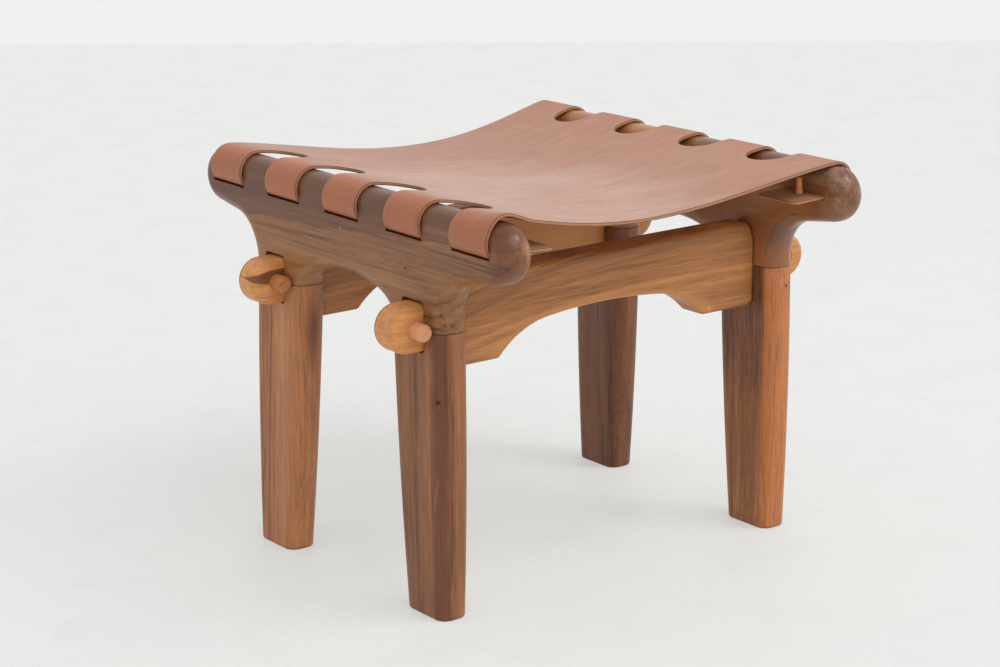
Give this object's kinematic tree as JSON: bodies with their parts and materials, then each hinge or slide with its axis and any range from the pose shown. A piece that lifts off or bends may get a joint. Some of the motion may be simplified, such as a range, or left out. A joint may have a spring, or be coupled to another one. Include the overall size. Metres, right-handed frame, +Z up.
{
  "type": "sling stool",
  "caption": "Low stool with a leather sling seat hung between two carved wooden end frames, joined by pegged through-tenon stretchers.",
  "frame": {"origin": "on the floor, in the middle of the stool", "axes": "+X from the left end frame to the right end frame, +Y along the rails to the back, +Z up"},
  "size_m": [0.5298, 0.518, 0.4056],
  "materials": {
    "rail_wood": "oiled walnut, satin",
    "leg_wood": "oiled walnut, satin",
    "stretcher_wood": "oiled walnut with light sapwood",
    "peg_wood": "oiled light hardwood",
    "dowel_wood": "plain beech",
    "saddle_leather": "waxed saddle leather, soft sheen"
  },
  "bodies": {
    "frame": {"left_rail": "rail_wood", "right_rail": "rail_wood", "leg_front_left": "leg_wood", "leg_front_right": "leg_wood", "leg_back_left": "leg_wood", "leg_back_right": "leg_wood", "stretcher_front": "stretcher_wood", "stretcher_back": "stretcher_wood", "dowel_front_left_inner": "dowel_wood", "dowel_front_left_outer": "dowel_wood", "dowel_front_right_inner": "dowel_wood", "dowel_front_right_outer": "dowel_wood", "dowel_back_left_inner": "dowel_wood", "dowel_back_left_outer": "dowel_wood", "dowel_back_right_inner": "dowel_wood", "dowel_back_right_outer": "dowel_wood", "leather_sling": "saddle_leather"},
    "tusk_peg_front_left": {"tusk_peg_front_left": "peg_wood"},
    "tusk_peg_front_right": {"tusk_peg_front_right": "peg_wood"},
    "tusk_peg_back_left": {"tusk_peg_back_left": "peg_wood"},
    "tusk_peg_back_right": {"tusk_peg_back_right": "peg_wood"},
    "strap_peg_left_1": {"strap_peg_left_1": "peg_wood"},
    "strap_peg_left_2": {"strap_peg_left_2": "peg_wood"},
    "strap_peg_left_3": {"strap_peg_left_3": "peg_wood"},
    "strap_peg_left_4": {"strap_peg_left_4": "peg_wood"},
    "strap_peg_left_5": {"strap_peg_left_5": "peg_wood"},
    "strap_peg_right_1": {"strap_peg_right_1": "peg_wood"},
    "strap_peg_right_2": {"strap_peg_right_2": "peg_wood"},
    "strap_peg_right_3": {"strap_peg_right_3": "peg_wood"},
    "strap_peg_right_4": {"strap_peg_right_4": "peg_wood"},
    "strap_peg_right_5": {"strap_peg_right_5": "peg_wood"}
  },
  "joints": [
    {"name": "tusk_peg_front_left_draw", "type": "slide", "parent": "frame", "child": "tusk_peg_front_left", "axis": [0, -1, 0], "range_m": [0, 0.06]},
    {"name": "tusk_peg_front_right_draw", "type": "slide", "parent": "frame", "child": "tusk_peg_front_right", "axis": [0, 1, 0], "range_m": [0, 0.06]},
    {"name": "tusk_peg_back_left_draw", "type": "slide", "parent": "frame", "child": "tusk_peg_back_left", "axis": [0, -1, 0], "range_m": [0, 0.06]},
    {"name": "tusk_peg_back_right_draw", "type": "slide", "parent": "frame", "child": "tusk_peg_back_right", "axis": [0, 1, 0], "range_m": [0, 0.06]},
    {"name": "strap_peg_left_1_draw", "type": "slide", "parent": "frame", "child": "strap_peg_left_1", "axis": [0, 0, -1], "range_m": [0, 0.0195]},
    {"name": "strap_peg_left_2_draw", "type": "slide", "parent": "frame", "child": "strap_peg_left_2", "axis": [0, 0, -1], "range_m": [0, 0.0195]},
    {"name": "strap_peg_left_3_draw", "type": "slide", "parent": "frame", "child": "strap_peg_left_3", "axis": [0, 0, -1], "range_m": [0, 0.0195]},
    {"name": "strap_peg_left_4_draw", "type": "slide", "parent": "frame", "child": "strap_peg_left_4", "axis": [0, 0, -1], "range_m": [0, 0.0195]},
    {"name": "strap_peg_left_5_draw", "type": "slide", "parent": "frame", "child": "strap_peg_left_5", "axis": [0, 0, -1], "range_m": [0, 0.0195]},
    {"name": "strap_peg_right_1_draw", "type": "slide", "parent": "frame", "child": "strap_peg_right_1", "axis": [0, 0, -1], "range_m": [0, 0.0195]},
    {"name": "strap_peg_right_2_draw", "type": "slide", "parent": "frame", "child": "strap_peg_right_2", "axis": [0, 0, -1], "range_m": [0, 0.0195]},
    {"name": "strap_peg_right_3_draw", "type": "slide", "parent": "frame", "child": "strap_peg_right_3", "axis": [0, 0, -1], "range_m": [0, 0.0195]},
    {"name": "strap_peg_right_4_draw", "type": "slide", "parent": "frame", "child": "strap_peg_right_4", "axis": [0, 0, -1], "range_m": [0, 0.0195]},
    {"name": "strap_peg_right_5_draw", "type": "slide", "parent": "frame", "child": "strap_peg_right_5", "axis": [0, 0, -1], "range_m": [0, 0.0195]}
  ]
}
